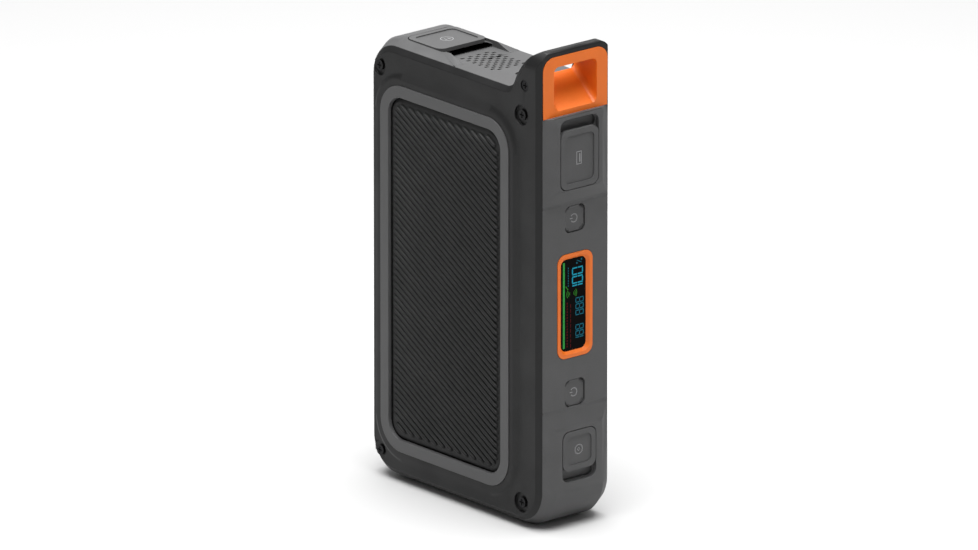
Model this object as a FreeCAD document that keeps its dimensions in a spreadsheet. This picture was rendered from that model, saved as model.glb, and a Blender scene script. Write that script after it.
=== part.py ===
# A hand-sized portable power pack with a carrying loop, modelled as it comes apart on a bench.
# +X is the side with the controls, -Y is the front with the ribbed pad, +Z runs up the long side.
# The origin is on the standing surface, below the middle of the body.
import FreeCAD
import Part
import Sketcher
import math
import os
import re
from types import SimpleNamespace

V = FreeCAD.Vector
doc = FreeCAD.newDocument("power_pack")

# ---------------------------------------------------------------- driving dimensions, in millimetres
SIZES = {
    # case
    "body_width": 130.4,
    "body_height": 224.4,
    "body_corner": 17.5,
    "bumper_rise": 3.6,
    "bumper_flat": 30.0,
    "ramp_end": 3.0,
    "frame_depth": 42.6,
    "frame_wall": 3.0,
    "fit_gap": 0.1,
    "moving_gap": 0.35,
    # front and rear shells
    "shell_step": 2.2,
    "shell_bevel": 2.8,
    "plateau_rise": 1.6,
    "plateau_margin": 3.0,
    "plateau_slope": 3.5,
    "ring_width": 99.0,
    "ring_height": 192.5,
    "ring_corner": 16.0,
    "ring_band": 6.1,
    "ring_shift_x": -5.7,
    "ring_shift_z": -2.3,
    "ring_seat": 1.5,
    "ring_proud": 0.4,
    "panel_seat": 2.7,
    "panel_slope": 2.2,
    "panel_groove": 0.6,
    # screws that close the case
    "screw_spacing_x": 110.0,
    "screw_spacing_z": 202.5,
    "screw_shift_x": -3.5,
    "screw_shift_z": -1.0,
    "screw_recess": 5.2,
    "screw_head": 2.75,
    "screw_head_high": 1.2,
    "screw_shank": 1.5,
    "screw_length": 12.0,
    "post_radius": 4.5,
    # carrying loop: its levels are measured from the top of the body
    "loop_rise": 22.4,
    "loop_run": 22.7,
    "loop_arc": 38.2,
    "loop_root": 5.5,
    "loop_crest": 3.0,
    "loop_edge": 1.4,
    "loop_corner": 9.5,
    "loop_mouth_width": 28.0,
    "loop_mouth_low": -9.2,
    "loop_mouth_high": 13.8,
    "loop_back_low": 4.7,
    "loop_back_run": 17.2,
    "loop_tube_wall": 1.6,
    "loop_flange_low": -12.0,
    "loop_flange_high": 19.2,
    "loop_flange_corner": 7.0,
    "loop_flange_thick": 2.2,
    # covers: width across, length from the hinge to the free end, and where the hinge end is
    "cover_thick": 2.0,
    "cover_scoop": 5.8,
    "cover_corner": 4.2,
    "bay_inset": 2.6,
    "usb_cover_width": 24.4,
    "usb_cover_length": 30.6,
    "usb_cover_start": 62.1,
    "dc_cover_width": 21.4,
    "dc_cover_length": 20.6,
    "dc_cover_start": 64.7,
    "ac_cover_width": 31.4,
    "ac_cover_length": 27.0,
    "ac_cover_start": 47.0,
    # buttons
    "button_width": 12.4,
    "button_length": 13.4,
    "button_corner": 3.0,
    "button_sink": 0.6,
    "button_travel": 0.8,
    "button_flange": 1.3,
    "usb_button_z": 45.0,
    "dc_button_z": -46.0,
    "ac_button_x": 32.0,
    # display
    "bezel_width": 22.8,
    "bezel_length": 54.4,
    "bezel_corner": 5.0,
    "window_width": 16.3,
    "window_length": 48.0,
    "window_depth": 1.5,
    # vents and fan
    "vent_pitch_x": 4.64,
    "vent_pitch_y": 2.65,
    "vent_slot_x": 1.5,
    "vent_slot_y": 2.5,
    "vent_centre_x": 2.3,
    "fan_size": 40.0,
    "fan_thick": 10.0,
    "fan_bore": 18.4,
    "fan_hub": 8.5,
    # battery
    "cell_radius": 9.2,
    "cell_length": 65.2,
    "cell_pitch": 19.4,
    "cell_left": -48.0,
    "cell_base": 20.0,
    "holder_thick": 7.0,
    # boards
    "board_thick": 1.6,
    "control_board_x": 45.4,
    "control_board_width": 36.0,
    "control_board_length": 186.0,
    "inverter_board_width": 96.0,
    "inverter_board_height": 58.0,
    "inverter_board_y": 15.6,
    "inverter_board_low": 18.0,
}

sheet = doc.addObject("Spreadsheet::Sheet", "sizes")
for row, (alias, number) in enumerate(SIZES.items(), start=1):
    sheet.set("A%d" % row, alias)
    sheet.set("B%d" % row, str(number))
    sheet.setAlias("B%d" % row, alias)
doc.recompute()

# sizes as numbers, for the shapes that are computed in code
s = SimpleNamespace(**{alias: float(sheet.get(alias)) for alias in SIZES})

# levels and half widths that several pieces share
MID = s.bumper_rise + s.body_height / 2
HALF = s.body_width / 2
FLOOR = s.bumper_rise
CEILING = s.bumper_rise + s.body_height
SIDE = s.frame_depth / 2
OUTER = HALF + s.bumper_rise
FACE = SIDE + s.shell_step
PLATEAU = FACE + s.plateau_rise
INNER = HALF - s.frame_wall

pieces = []


# ---------------------------------------------------------------- helpers that bind sizes to the sheet
def bound(text):
    """An expression in which every driving dimension is read from the sheet."""
    return re.sub(r"[a-z]\w*", lambda m: "sizes." + m.group(0) if m.group(0) in SIZES else m.group(0), text)


def bind(item, **expressions):
    """Bind properties such as Length, or the place given as x, y and z."""
    for name, text in expressions.items():
        target = "Placement.Base." + name if name in ("x", "y", "z") else name
        item.setExpression(target, bound(str(text)))
    return item


def keep(item, name):
    """Mark an object as a finished sub-part with its own name."""
    item.Label = name
    pieces.append(item)
    return item


def block(name, size, place):
    """A plain box: its three sizes and its lowest corner are expressions."""
    item = doc.addObject("Part::Box", name)
    bind(item, Length=size[0], Width=size[1], Height=size[2])
    return bind(item, x=place[0], y=place[1], z=place[2])


TURN = {
    "X": FreeCAD.Rotation(V(0, 1, 0), 90),
    "Y": FreeCAD.Rotation(V(1, 0, 0), -90),
    "-Y": FreeCAD.Rotation(V(1, 0, 0), 90),
    "Z": FreeCAD.Rotation(),
}


def rod(name, radius, length, place, axis="Z"):
    """A cylinder that grows from its place along the axis."""
    item = doc.addObject("Part::Cylinder", name)
    bind(item, Radius=radius, Height=length)
    item.Placement = FreeCAD.Placement(V(), TURN[axis])
    return bind(item, x=place[0], y=place[1], z=place[2])


def joined(name, parts):
    item = doc.addObject("Part::MultiFuse", name)
    item.Shapes = parts
    return item


def removed(name, base, tools):
    item = doc.addObject("Part::Cut", name)
    item.Base = base
    item.Tool = tools[0] if len(tools) == 1 else joined(name + "_tools", tools)
    return item


def gathered(name, parts):
    """Like pieces that share one node as separate solids."""
    item = doc.addObject("Part::Compound", name)
    item.Links = parts
    return keep(item, name)


def plane_of(body, role):
    return next(item for item in body.Origin.OriginFeatures if item.Role == role)


def plate(name, length, width, thick, radius, facing, place):
    """A PartDesign plate with rounded corners. Facing X its length runs along Z, facing Z along X."""
    body = doc.addObject("PartDesign::Body", name)
    sketch = body.newObject("Sketcher::SketchObject", name + "_sketch")
    sketch.AttachmentSupport = [(plane_of(body, "XY_Plane"), "")]
    sketch.MapMode = "FlatFace"
    corners = [V(-5, -5, 0), V(5, -5, 0), V(5, 5, 0), V(-5, 5, 0)]
    for start, end in zip(corners, corners[1:] + corners[:1]):
        sketch.addGeometry(Part.LineSegment(start, end), False)
    for side in range(4):
        sketch.addConstraint(Sketcher.Constraint("Coincident", side, 2, (side + 1) % 4, 1))
        sketch.addConstraint(Sketcher.Constraint("Horizontal" if side % 2 == 0 else "Vertical", side))
    sketch.addConstraint(Sketcher.Constraint("Symmetric", 0, 1, 1, 2, -1, 1))
    across = sketch.addConstraint(Sketcher.Constraint("DistanceX", 0, 1, 0, 2, 10))
    along = sketch.addConstraint(Sketcher.Constraint("DistanceY", 1, 1, 1, 2, 10))
    sketch.renameConstraint(across, "across")
    sketch.renameConstraint(along, "along")
    sketch.setExpression("Constraints.across", bound(length))
    sketch.setExpression("Constraints.along", bound(width))
    pad = body.newObject("PartDesign::Pad", name + "_pad")
    pad.Profile = sketch
    pad.setExpression("Length", bound(thick))
    doc.recompute()
    upright = [
        "Edge%d" % (number + 1)
        for number, edge in enumerate(pad.Shape.Edges)
        if abs(edge.tangentAt(edge.FirstParameter).z) > 0.99
    ]
    corner = body.newObject("PartDesign::Fillet", name + "_corners")
    corner.Base = (pad, upright)
    corner.setExpression("Radius", bound(radius))
    body.Tip = corner
    body.Placement = FreeCAD.Placement(V(), TURN[facing])
    return bind(body, x=place[0], y=place[1], z=place[2])


# ---------------------------------------------------------------- helpers for the moulded shapes
def chained(bends):
    """A closed wire. Each bend is a point, or an arc's start, crown and end; straight lines join them."""
    path = []
    for i, bend in enumerate(bends):
        if len(bend) == 3:
            path.append(Part.Arc(*bend).toShape())
        following = bends[(i + 1) % len(bends)][0]
        if (following - bend[-1]).Length > 1e-6:
            path.append(Part.LineSegment(bend[-1], following).toShape())
    return Part.Wire(path)


def rounded(points, y=0.0):
    """A closed wire in the XZ plane at depth y. Each point is x, z and its corner radius."""
    flat = [V(x, y, z) for x, z, radius in points]
    bends = []
    for i, (x, z, radius) in enumerate(points):
        if not radius:
            bends.append([flat[i]])
            continue
        back = (flat[i - 1] - flat[i]).normalize()
        ahead = (flat[(i + 1) % len(flat)] - flat[i]).normalize()
        half_turn = back.getAngle(ahead) / 2
        reach = radius / math.tan(half_turn)
        crown = (back + ahead).normalize() * (radius / math.sin(half_turn) - radius)
        bends.append([flat[i] + back * reach, flat[i] + crown, flat[i] + ahead * reach])
    return chained(bends)


def frame_box(x0, x1, z0, z1, radius):
    """Corner points of a rounded rectangle in the XZ plane."""
    return [(x0, z0, radius), (x1, z0, radius), (x1, z1, radius), (x0, z1, radius)]


def grown(points, by):
    """A rounded rectangle's points moved outwards."""
    (x0, z0, radius), _, (x1, z1, _), _ = points
    return frame_box(x0 - by, x1 + by, z0 - by, z1 + by, max(radius + by, 0.5))


def extruded(wire, y0, y1):
    """Fill a wire in the XZ plane and carry it from depth y0 to depth y1."""
    flat = wire.copy()
    flat.translate(V(0, y0 - wire.Vertexes[0].Point.y, 0))
    return Part.Face(flat).extrude(V(0, y1 - y0, 0))


def sloped(wire_a, wire_b):
    """A solid with straight slopes between two outlines of like shape."""
    return Part.makeLoft([wire_a, wire_b], True, True)


def cushion(low, high, radius, along):
    """A box whose edges along one direction (0, 1 or 2) are rounded."""
    box = Part.makeBox(high[0] - low[0], high[1] - low[1], high[2] - low[2], V(*low))
    edges = [edge for edge in box.Edges if abs(edge.tangentAt(edge.FirstParameter)[along]) > 0.99]
    return box.makeFillet(radius, edges)


def drilled(radius, x, y0, y1, z):
    """A round hole or rod along Y."""
    return Part.makeCylinder(radius, abs(y1 - y0), V(x, min(y0, y1), z), V(0, 1, 0))


def mirrored(shape):
    """The same piece on the other broad side."""
    return shape.mirror(V(), V(0, 1, 0))


def feature(name, shape):
    """A moulded piece: its shape is computed from the sheet's sizes."""
    item = doc.addObject("Part::Feature", name)
    item.Shape = shape
    item.Placement = FreeCAD.Placement()
    return keep(item, name)


# ---------------------------------------------------------------- outlines of the case
# The insert's floor falls towards the controls, and the frame below it is cut on the same slope.
MOUTH_X = HALF + 0.2
BACK_X = MOUTH_X - s.loop_back_run
SLOPE = (s.loop_back_low - s.loop_mouth_low) / s.loop_back_run
CUT_LOW = CEILING + s.loop_flange_low


def cut_points(inset):
    """The two ends of the slope that cuts the frame's top right corner."""
    drop = inset / math.cos(math.atan(SLOPE))
    low_z = CUT_LOW + SLOPE * inset - drop
    high_x = HALF - (CEILING - inset - CUT_LOW + drop) / SLOPE
    return [(HALF - inset, low_z, 0.0), (high_x, CEILING - inset, 0.0)]


def frame_wire(inset):
    """The grey frame's outline without its bumpers."""
    corner = s.body_corner - inset
    low_left = (-HALF + inset, FLOOR + inset, corner)
    low_right = (HALF - inset, FLOOR + inset, corner)
    high_left = (-HALF + inset, CEILING - inset, corner)
    return rounded([low_left, low_right] + cut_points(inset) + [high_left])


def bumper_wire():
    """The frame's outline with its four raised corners, each easing down to the recessed sides."""
    corner = s.body_corner + s.bumper_rise
    top = CEILING + s.bumper_rise
    ease = 5.0
    return rounded([
        (-OUTER, 0.0, corner),
        (-40.5, 0.0, 1.2), (-38.0, FLOOR, 1.2), (33.0, FLOOR, ease), (44.0, 0.0, ease),
        (OUTER, 0.0, corner),
        (OUTER, MID - 62.3, ease), (HALF, MID - 53.8, ease),
        (HALF, MID + 54.2, ease), (OUTER, MID + s.usb_cover_start - s.moving_gap, 3.0),
        (OUTER, CUT_LOW + 0.1, 1.0), (HALF, CUT_LOW + 0.1, 0.0),
        cut_points(0)[1],
        (-s.ramp_end, CEILING, ease), (-12.5, top, ease),
        (-OUTER, top, corner),
        (-OUTER, MID + 62.3, ease), (-HALF, MID + 53.8, ease),
        (-HALF, MID - 53.8, ease), (-OUTER, MID - 62.3, ease),
    ])


def loop_wire(inset, y):
    """The black shells' outline, with the loop standing on its top right corner."""
    level = CEILING - inset
    top = CEILING + s.loop_rise - inset
    left, right, low = -HALF + inset, HALF - inset, FLOOR + inset
    corner, nose = s.body_corner - inset, s.loop_edge - 0.28 * inset
    arc, root, crest = s.loop_arc - inset, s.loop_root + inset, s.loop_crest - inset

    # the long arc of the loop's back meets the body's top one loop_run in from the side
    centre = V(HALF - s.loop_run + s.loop_arc * 0.954, y, CEILING - s.loop_arc * 0.3)
    root_z = level + root
    root_x = centre.x - math.sqrt((arc + root) ** 2 - (root_z - centre.z) ** 2)
    crest_z = top - crest
    crest_x = centre.x - math.sqrt((arc - crest) ** 2 - (crest_z - centre.z) ** 2)
    root_centre, crest_centre = V(root_x, y, root_z), V(crest_x, y, crest_z)
    touch = root_centre + (centre - root_centre).normalize() * root
    meet = centre + (crest_centre - centre).normalize() * arc

    def bend(middle, radius, start, end):
        """An arc about its middle point, the short way round."""
        crown = middle + ((start - middle) + (end - middle)).normalize() * radius
        return [start, crown, end]

    def quarter(x, z, radius, first):
        """A quarter circle that starts at an angle of a whole number of right angles."""
        spots = [math.radians(first + step) for step in (0, 45, 90)]
        return [V(x + radius * math.cos(spot), y, z + radius * math.sin(spot)) for spot in spots]

    return chained([
        quarter(left + corner, low + corner, corner, 180),
        quarter(right - corner, low + corner, corner, 270),
        quarter(right - nose, top - nose, nose, 0),
        bend(crest_centre, crest, V(crest_x, y, top), meet),
        bend(centre, arc, meet, touch),
        bend(root_centre, root, touch, V(root_x, y, level)),
        quarter(left + corner, level - corner, corner, 90),
    ])


# ---------------------------------------------------------------- places that repeat
RING_X, RING_Z = s.ring_shift_x, MID + s.ring_shift_z
RING = frame_box(
    RING_X - s.ring_width / 2, RING_X + s.ring_width / 2,
    RING_Z - s.ring_height / 2, RING_Z + s.ring_height / 2, s.ring_corner,
)
SCREWS = [
    (s.screw_shift_x + side * s.screw_spacing_x / 2, MID + s.screw_shift_z + end * s.screw_spacing_z / 2)
    for side in (-1, 1) for end in (-1, 1)
]
LOOP_SCREW = (HALF - 11.2, CEILING + 3.8)
HEAD_DEPTH = 3.4
PILOT = s.screw_shank - 0.25
SCREW_END = FACE - HEAD_DEPTH - s.screw_length


# ---------------------------------------------------------------- grey middle frame
def make_frame():
    base = frame_box(-HALF, HALF, FLOOR, CEILING, s.body_corner)
    raised = grown(base, s.bumper_rise)
    flat = s.bumper_flat / 2
    bevel = sloped(rounded(base, -SIDE), rounded(raised, -flat))
    bumpers = bevel.fuse([extruded(rounded(raised), -flat, flat), mirrored(bevel)])
    bumpers = bumpers.common(extruded(bumper_wire(), -SIDE, SIDE))
    frame = extruded(frame_wire(0), -SIDE, SIDE).fuse(bumpers)
    frame = frame.cut(extruded(frame_wire(s.frame_wall), -SIDE, SIDE))

    # posts for the case screws, each tied to the nearest wall by a web
    posts = []
    for x, z in SCREWS:
        wall_z = FLOOR + 1.0 if z < MID else CEILING + s.loop_flange_low + SLOPE * (HALF - x) - 2.0
        wall_x = -HALF + 1.0
        posts.append(drilled(s.post_radius, x, -SIDE, SIDE, z))
        if x > 0:
            low, high = sorted((z, wall_z))
            posts.append(Part.makeBox(3.0, 2 * SIDE, high - low, V(x - 1.5, -SIDE, low)))
        else:
            posts.append(Part.makeBox(x - wall_x, 2 * SIDE, 3.0, V(wall_x, -SIDE, z - 1.5)))
    frame = frame.fuse(posts)
    holes = [drilled(PILOT, x, -SIDE, -SCREW_END + 2, z) for x, z in SCREWS]
    holes += [drilled(PILOT, x, SIDE, SCREW_END - 2, z) for x, z in SCREWS]

    # seats, finger scoops and bays of the covers, and the holes of buttons and display
    cuts = list(holes)
    gap = s.moving_gap
    lip = 0.8
    seat_x = OUTER - s.cover_thick - gap
    for start, length, width, way in (
        (MID + s.usb_cover_start, s.usb_cover_length, s.usb_cover_width, 1),
        (MID - s.dc_cover_start, s.dc_cover_length, s.dc_cover_width, -1),
    ):
        z0, z1 = sorted((start - way * gap, start + way * (length + s.cover_scoop)))
        z2, z3 = sorted((start + way * (length - 1), start + way * (length + s.cover_scoop - lip)))
        half = width / 2 + gap
        cuts.append(cushion((seat_x, -half, z0), (OUTER + 1, half, z1), s.cover_corner, 0))
        cuts.append(cushion((seat_x - 1.4, lip - half, z2), (seat_x + 1, half - lip, z3), 2.6, 0))
        z4, z5 = sorted((start + way * s.bay_inset, start + way * (length - s.bay_inset)))
        bay = width / 2 - s.bay_inset
        cuts.append(cushion((INNER - 2, -bay, z4), (seat_x + 1, bay, z5), 1.5, 0))

    seat_z = CEILING + s.bumper_rise - s.cover_thick - gap
    half = s.ac_cover_width / 2 + gap
    x0, x1 = -s.ac_cover_start, -s.ac_cover_start + s.ac_cover_length
    x2 = x1 + s.cover_scoop
    cuts.append(cushion((x0 - gap, -half, seat_z), (x2, half, seat_z + 9), s.cover_corner, 2))
    cuts.append(cushion((x1 - 1, lip - half, seat_z - 1.4), (x2 - lip, half - lip, seat_z + 1), 2.0, 2))
    # the ramp is open in front of this scoop, so that a finger reaches under the cover's end
    cuts.append(cushion((x1 - 1, lip - half, CEILING), (2 - s.ramp_end, half - lip, seat_z + 9), 1.5, 2))
    bay = s.ac_cover_width / 2 - s.bay_inset
    low, high = (x0 + s.bay_inset, -bay, CEILING - s.frame_wall - 2), (x1 - s.bay_inset, bay, seat_z + 1)
    cuts.append(cushion(low, high, 1.5, 2))

    hole_y, hole_z = s.button_width / 2 + gap, s.button_length / 2 + gap
    for z in (MID + s.usb_button_z, MID + s.dc_button_z):
        cuts.append(cushion((INNER - 2, -hole_y, z - hole_z), (HALF + 1, hole_y, z + hole_z), 3.2, 0))
    x = s.ac_button_x
    low, high = (x - hole_z, -hole_y, CEILING - s.frame_wall - 2), (x + hole_z, hole_y, CEILING + 1)
    cuts.append(cushion(low, high, 3.2, 2))

    half_y, half_z = s.bezel_width / 2 + s.fit_gap, s.bezel_length / 2 + s.fit_gap
    low, high = (INNER - 2, -half_y, MID - half_z), (HALF + 1, half_y, MID + half_z)
    cuts.append(cushion(low, high, s.bezel_corner, 0))

    # vents above the fan, every other row shifted by half a pitch
    for row in range(8):
        y = (row - 3.5) * s.vent_pitch_y - s.vent_slot_y / 2
        shift = s.vent_pitch_x / 4 * (1 if row % 2 else -1)
        for column in range(6):
            x = s.vent_centre_x + (column - 2.5) * s.vent_pitch_x + shift - s.vent_slot_x / 2
            slot = V(x, y, CEILING - s.frame_wall - 1)
            cuts.append(Part.makeBox(s.vent_slot_x, s.vent_slot_y, s.frame_wall + 2, slot))
    for tool in cuts:
        frame = frame.cut(tool)
    return frame


feature("mid_frame", make_frame())


# ---------------------------------------------------------------- carrying loop's orange insert
def insert_tube(wall, front_x):
    """The insert's sloping tube, with room of one wall on every side of the opening."""
    drop = wall * math.sqrt(1 + SLOPE ** 2)
    half = s.loop_mouth_width / 2 + wall
    reach = front_x - BACK_X
    top = CEILING + s.loop_mouth_high + wall
    outline = [
        V(BACK_X, -half, CEILING + s.loop_back_low - drop),
        V(BACK_X, -half, top),
        V(front_x, -half, top),
        V(front_x, -half, CEILING + s.loop_back_low - drop - SLOPE * reach),
    ]
    tube = Part.Face(Part.makePolygon(outline + outline[:1])).extrude(V(0, 2 * half, 0))
    long_edges = [edge for edge in tube.Edges if abs(edge.tangentAt(edge.FirstParameter).y) < 0.1]
    long_edges = [edge for edge in long_edges if abs(edge.tangentAt(edge.FirstParameter).x) > 0.3]
    return tube.makeFillet(3.0 + wall, long_edges)


def loop_zone():
    """The space above the frame's slope and top, where the loop and its insert sit."""
    left = HALF - s.loop_run - 12
    floor = CEILING + s.fit_gap
    outline = [
        V(left, -SIDE, floor), V(cut_points(0)[1][0], -SIDE, floor),
        V(HALF + 0.1, -SIDE, CUT_LOW + s.fit_gap), V(HALF + 9, -SIDE, CUT_LOW + s.fit_gap),
        V(HALF + 9, -SIDE, CEILING + 40), V(left, -SIDE, CEILING + 40),
    ]
    return Part.Face(Part.makePolygon(outline + outline[:1])).extrude(V(0, 2 * SIDE, 0))


def insert_body(gap):
    """The insert's outside, grown by a gap for the space that it takes up."""
    half = SIDE - 0.3 + gap
    low, high = CUT_LOW - 9, CEILING + s.loop_flange_high + gap
    near = (MOUTH_X - s.loop_flange_thick - gap, -half, low)
    flange = cushion(near, (MOUTH_X + gap, half, high), s.loop_flange_corner, 0)
    return flange.fuse(insert_tube(s.loop_tube_wall + gap, MOUTH_X - 0.5)).common(loop_zone())


def make_insert():
    body = insert_body(0.0)
    bosses = [
        drilled(3.0, LOOP_SCREW[0], side * (s.loop_mouth_width / 2 + 0.5), side * (SIDE - 1.9), LOOP_SCREW[1])
        for side in (-1, 1)
    ]
    opening = insert_tube(0.0, MOUTH_X + 4)
    way_out = insert_tube(0.0, BACK_X + 4)
    way_out.translate(V(-3.0, 0, 3.0 * SLOPE))
    pilots = [
        drilled(PILOT, LOOP_SCREW[0], side * (s.loop_mouth_width / 2 + 0.8), side * SIDE, LOOP_SCREW[1])
        for side in (-1, 1)
    ]
    body = body.fuse(bosses).cut([opening, way_out] + pilots)
    behind = extruded(loop_wire(0.3, 0.0), -SIDE, SIDE)
    front = Part.makeBox(20, 2 * SIDE, 60, V(MOUTH_X - 4, -SIDE, CUT_LOW - 5))
    return body.common(behind.fuse(front))


feature("loop_insert", make_insert())


# ---------------------------------------------------------------- black front and rear shells
def make_shell():
    """The front shell: a broad plate, and its half of the loop down to the seam in the middle."""
    bevel = sloped(loop_wire(0.0, -SIDE), loop_wire(s.shell_bevel, -FACE))
    foot = grown(RING, s.plateau_margin + s.plateau_slope)
    crown = grown(RING, s.plateau_margin)
    plateau = sloped(rounded(foot, -FACE + 0.01), rounded(crown, -PLATEAU))
    half_loop = extruded(loop_wire(0.0, 0.0), -SIDE, -s.fit_gap / 4).common(loop_zone())
    shell = bevel.fuse([plateau, half_loop])

    # the loop's upper corners are rounded across its width
    radius = s.loop_corner
    top = CEILING + s.loop_rise
    square = Part.makeBox(60, radius + 1, radius + 1, V(20, -FACE - 1, top - radius))
    barrel = Part.makeCylinder(radius, 60, V(20, -FACE + radius, top - radius), V(1, 0, 0))
    shell = shell.cut(square.cut(barrel))

    recess = [extruded(rounded(grown(RING, s.fit_gap)), -PLATEAU - 1, -PLATEAU + s.ring_seat)]
    panel = grown(RING, s.panel_groove - s.ring_band)
    recess.append(extruded(rounded(panel), -PLATEAU - 1, -PLATEAU + s.panel_seat))
    for x, z in SCREWS:
        recess.append(drilled(s.screw_recess, x, -PLATEAU - 1, -FACE + 1.6, z))
        recess.append(drilled(s.screw_head + 0.2, x, -PLATEAU, -SIDE - 0.6, z))
        recess.append(drilled(s.screw_shank + 0.2, x, -PLATEAU, -SIDE + 1, z))
    x, z = LOOP_SCREW
    recess.append(drilled(s.screw_head + 0.2, x, -PLATEAU, -FACE + 1.6, z))
    recess.append(drilled(s.screw_shank + 0.2, x, -PLATEAU, -SIDE + 3, z))
    recess.append(drilled(3.0 + s.fit_gap, x, -SIDE + 1.9 - s.fit_gap, -10, z))
    recess.append(insert_body(s.fit_gap))
    # between the cheeks the loop is open behind the insert, up to the underside of its bar
    half = s.loop_mouth_width / 2 + s.loop_tube_wall + s.fit_gap
    recess.append(Part.makeBox(20, 2 * half, s.loop_mouth_high,
                               V(BACK_X - 18, -half, CEILING)))
    return shell.cut(recess)


front = make_shell()
feature("front_shell", front)
feature("rear_shell", mirrored(front))


# ---------------------------------------------------------------- light ring and ribbed pad, front and rear
def make_ring():
    """A flat band with a sloping inner wall, glued in its groove around the pad."""
    band = extruded(rounded(RING), -PLATEAU - s.ring_proud, -PLATEAU + s.ring_seat - s.fit_gap)
    mouth = grown(RING, -s.ring_band)
    throat = grown(RING, -s.ring_band - 0.5)
    return band.cut(
        sloped(rounded(mouth, -PLATEAU - s.ring_proud - 0.01), rounded(throat, -PLATEAU + s.ring_seat))
    )


def make_panel():
    """The pad: a raised field whose edges slope down to a narrow groove inside the ring."""
    foot = grown(RING, -s.ring_band - 1.0)
    field = grown(foot, -s.panel_slope)
    base = extruded(rounded(foot), -PLATEAU + s.panel_seat - s.fit_gap, -PLATEAU + s.panel_seat - 0.9)
    return base.fuse(sloped(rounded(foot, -PLATEAU + s.panel_seat - 0.9), rounded(field, -PLATEAU - 0.1)))


ring, panel = make_ring(), make_panel()
feature("front_ring", ring)
feature("rear_ring", mirrored(ring))
feature("front_panel", panel)
feature("rear_panel", mirrored(panel))


# ---------------------------------------------------------------- screws that close the case
def screw(length, x, z, head_top, side):
    """A pan-head screw driven in along Y from the front (-1) or the rear (1), with a cross recess."""
    under_head = head_top - s.screw_head_high
    body = drilled(s.screw_head, x, side * head_top, side * under_head, z)
    body = body.fuse(drilled(PILOT, x, side * under_head, side * (under_head - length), z))
    for turn in (0, 90):
        slot = Part.makeBox(0.7, 1.4, 3.2, V(-0.35, -0.7, -1.6))
        slot.rotate(V(), V(0, 1, 0), turn)
        slot.translate(V(x, side * head_top, z))
        body = body.cut(slot)
    return body


def screw_set(side):
    return [screw(s.screw_length, x, z, SIDE + 0.6 + s.screw_head_high, side) for x, z in SCREWS]


feature("front_screws", Part.makeCompound(screw_set(-1)))
feature("rear_screws", Part.makeCompound(screw_set(1)))
LOOP_HEAD = FACE - 1.6 + s.screw_head_high
feature("loop_screws", Part.makeCompound([
    screw(5.0, LOOP_SCREW[0], LOOP_SCREW[1], LOOP_HEAD, side) for side in (-1, 1)
]))


# ---------------------------------------------------------------- display: bezel, lens and module
CENTRE = "bumper_rise+body_height/2"
RIGHT = "body_width/2"


def window_frame():
    outer = plate("bezel_blank", "bezel_length", "bezel_width", "frame_wall+0.2", "bezel_corner", "X",
                  (RIGHT + "-frame_wall", 0, CENTRE))
    mouth = plate("bezel_mouth", "window_length", "window_width", "frame_wall+2", "bezel_corner-1.6", "X",
                  (RIGHT + "-frame_wall-1", 0, CENTRE))
    seat = plate("bezel_seat", "window_length+2.4", "window_width+2.4", "frame_wall-window_depth+0.2",
                 "bezel_corner-1.2", "X", (RIGHT + "-frame_wall-0.001", 0, CENTRE))
    return keep(removed("display_bezel", outer, [mouth, seat]), "display_bezel")


window_frame()
keep(plate("display_lens", "window_length+2.2", "window_width+2.2", "1.2", "bezel_corner-1.4", "X",
           (RIGHT + "+0.1-window_depth-1.2", 0, CENTRE)), "display_lens")
keep(block("lcd_module", ("12.0", "window_width+2", "window_length+1"),
           (RIGHT + "-frame_wall-0.2-12.0", "-window_width/2-1", CENTRE + "-window_length/2-0.5")),
     "lcd_module")


# ---------------------------------------------------------------- covers that swing open on their end
def cover(name, length, width, facing, place, field_place):
    """A soft flap with a raised rim around a sunk field, flush with the bumper."""
    blank = plate(name + "_blank", length, width, "cover_thick", "cover_corner", facing, place)
    field = plate(name + "_field", length + "-5.6", width + "-5.6", "cover_thick", "cover_corner-1.2", facing,
                  field_place)
    return keep(removed(name, blank, [field]), name)


FLUSH = RIGHT + "+bumper_rise"
FIELD = "-0.6"
for name, middle in (
    ("usb_cover", CENTRE + "+usb_cover_start+usb_cover_length/2"),
    ("dc_cover", CENTRE + "-dc_cover_start-dc_cover_length/2"),
):
    cover(name, name + "_length", name + "_width", "X",
          (FLUSH + "-cover_thick", 0, middle), (FLUSH + FIELD, 0, middle))
TOP = "bumper_rise+body_height"
middle = "-ac_cover_start+ac_cover_length/2"
cover("ac_cover", "ac_cover_length", "ac_cover_width", "Z",
      (middle, 0, TOP + "+bumper_rise-cover_thick"), (middle, 0, TOP + "+bumper_rise" + FIELD))


# ---------------------------------------------------------------- buttons and their switches
def button(name, facing, surface, centre, stem_tip):
    """A square cap, a wider flange that keeps it in, and a stem that reaches to the switch."""
    def at(depth):
        level = "%s-(%s)" % (surface, depth)
        return (level, 0, centre) if facing == "X" else (centre, 0, level)

    cap = plate(name + "_cap", "button_length", "button_width", "frame_wall+moving_gap-button_sink+0.5",
                "button_corner", facing, at("frame_wall+moving_gap+0.5"))
    flange = plate(name + "_flange", "button_length+2.4", "button_width+2.4", "button_flange",
                   "button_corner", facing, at("frame_wall+moving_gap+button_flange"))
    stem = rod(name + "_stem", "1.6", "%s-button_flange" % stem_tip, at("frame_wall+moving_gap+" + stem_tip),
               facing)
    return keep(joined(name, [cap, flange, stem]), name)


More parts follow.
